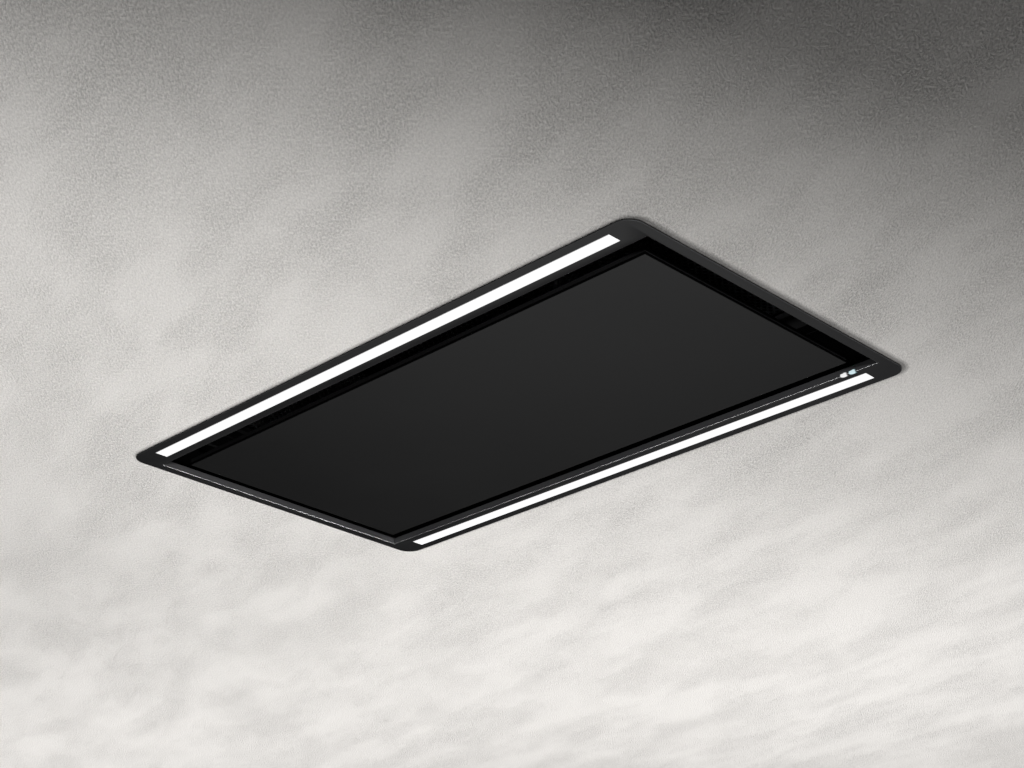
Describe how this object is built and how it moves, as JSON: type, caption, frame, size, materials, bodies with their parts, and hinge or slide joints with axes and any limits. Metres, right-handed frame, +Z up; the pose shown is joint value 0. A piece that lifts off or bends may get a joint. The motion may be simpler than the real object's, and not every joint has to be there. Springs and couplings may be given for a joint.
{
  "type": "ceiling range hood",
  "caption": "Extractor hood set flush in a ceiling: slim frame, drop-down panel with a slot all round, light strips, grease filters, blower and round duct collar.",
  "frame": {"origin": "centre of the ceiling cut-out, in the plane of the ceiling's underside", "axes": "+Z up into the ceiling, +X along the length from the duct end to the end with the keys, +Y towards the long side with the keys"},
  "size_m": [1.0458, 0.567, 0.2853],
  "materials": {
    "coated_steel": "fine matt powder coat, near black",
    "dark_panel": "satin near-black glass, coated behind",
    "galvanised_sheet": "galvanised sheet, soft spangle",
    "stainless": "brushed",
    "aluminium": "satin",
    "opal_diffuser": "opal, lit from behind",
    "white_key": "translucent, lit from behind",
    "blue_key": "translucent, lit from behind",
    "black_mould": "fine moulded grain",
    "grey_mould": "fine moulded grain",
    "circuit_board": "solder mask",
    "foam": "closed-cell foam",
    "magnet": "coated",
    "lead_sheath": "matt sheath"
  },
  "bodies": {
    "root": {"trim_frame": "coated_steel", "ceiling_seal": "foam", "light_profile_left": "aluminium", "light_board_left": "circuit_board", "light_diffuser_left": "opal_diffuser", "light_profile_right": "aluminium", "light_board_right": "circuit_board", "light_diffuser_right": "opal_diffuser", "key_board": "circuit_board", "housing_top": "galvanised_sheet", "side_wall_left": "galvanised_sheet", "side_wall_right": "galvanised_sheet", "end_wall_duct": "galvanised_sheet", "end_wall_control": "galvanised_sheet", "hanger_left_duct": "galvanised_sheet", "hanger_left_control": "galvanised_sheet", "hanger_right_duct": "galvanised_sheet", "hanger_right_control": "galvanised_sheet", "filter_deck": "galvanised_sheet", "filter_ledge": "galvanised_sheet", "filter_magnet_strip": "magnet", "panel_hinge_bracket_duct": "stainless", "panel_hinge_pin_duct": "stainless", "panel_magnet_duct": "magnet", "panel_hinge_bracket_control": "stainless", "panel_hinge_pin_control": "stainless", "panel_magnet_control": "magnet", "scroll_housing": "black_mould", "scroll_cover": "black_mould", "motor_stator": "aluminium", "outlet_transition": "galvanised_sheet", "duct_collar": "black_mould", "flap_pin": "stainless", "control_box": "galvanised_sheet", "control_lid": "galvanised_sheet", "control_board": "circuit_board", "light_driver": "grey_mould", "cable_gland": "black_mould", "motor_lead": "lead_sheath", "light_lead_left": "lead_sheath", "light_lead_right": "lead_sheath"},
    "panel": {"panel_face": "dark_panel", "panel_tray": "coated_steel", "panel_hinge_leaf_duct": "stainless", "panel_hinge_leaf_control": "stainless"},
    "filter_a": {"filter_frame_1": "stainless", "filter_mesh_1": "aluminium", "filter_handle_1": "stainless"},
    "filter_b": {"filter_frame_2": "stainless", "filter_mesh_2": "aluminium", "filter_handle_2": "stainless"},
    "filter_c": {"filter_frame_3": "stainless", "filter_mesh_3": "aluminium", "filter_handle_3": "stainless"},
    "wheel": {"impeller": "galvanised_sheet", "motor_rotor": "grey_mould"},
    "left_flap": {"flap_left": "grey_mould"},
    "right_flap": {"flap_right": "grey_mould"},
    "light_button": {"light_key": "white_key"},
    "power_button": {"power_key": "blue_key"}
  },
  "joints": [
    {"name": "panel_drop", "type": "hinge", "parent": "root", "child": "panel", "pos_m": [0, -0.19, 0.025], "axis": [-1, 0, 0], "range_deg": [0, 90]},
    {"name": "filter_tilt_1", "type": "hinge", "parent": "root", "child": "filter_a", "pos_m": [-0.3, -0.171, 0.0818], "axis": [-1, 0, 0], "range_deg": [0, 8]},
    {"name": "filter_tilt_2", "type": "hinge", "parent": "root", "child": "filter_b", "pos_m": [0, -0.171, 0.0818], "axis": [-1, 0, 0], "range_deg": [0, 8]},
    {"name": "filter_tilt_3", "type": "hinge", "parent": "root", "child": "filter_c", "pos_m": [0.3, -0.171, 0.0818], "axis": [-1, 0, 0], "range_deg": [0, 8]},
    {"name": "wheel_spin", "type": "hinge", "parent": "root", "child": "wheel", "pos_m": [-0.2, -0.07, 0.21], "axis": [0, 0, 1], "continuous": true},
    {"name": "left_flap_swing", "type": "hinge", "parent": "root", "child": "left_flap", "pos_m": [-0.501, 0.06416, 0.178], "axis": [0, 0, -1], "range_deg": [0, 75], "stiffness_Nm_per_rad": 0.01},
    {"name": "right_flap_swing", "type": "hinge", "parent": "root", "child": "right_flap", "pos_m": [-0.501, 0.07316, 0.178], "axis": [0, 0, 1], "range_deg": [0, 75], "stiffness_Nm_per_rad": 0.01},
    {"name": "light_key_press", "type": "slide", "parent": "root", "child": "light_button", "axis": [0, 0, 1], "range_m": [0, 0.001], "stiffness_N_per_m": 300},
    {"name": "power_key_press", "type": "slide", "parent": "root", "child": "power_button", "axis": [0, 0, 1], "range_m": [0, 0.001], "stiffness_N_per_m": 300}
  ]
}
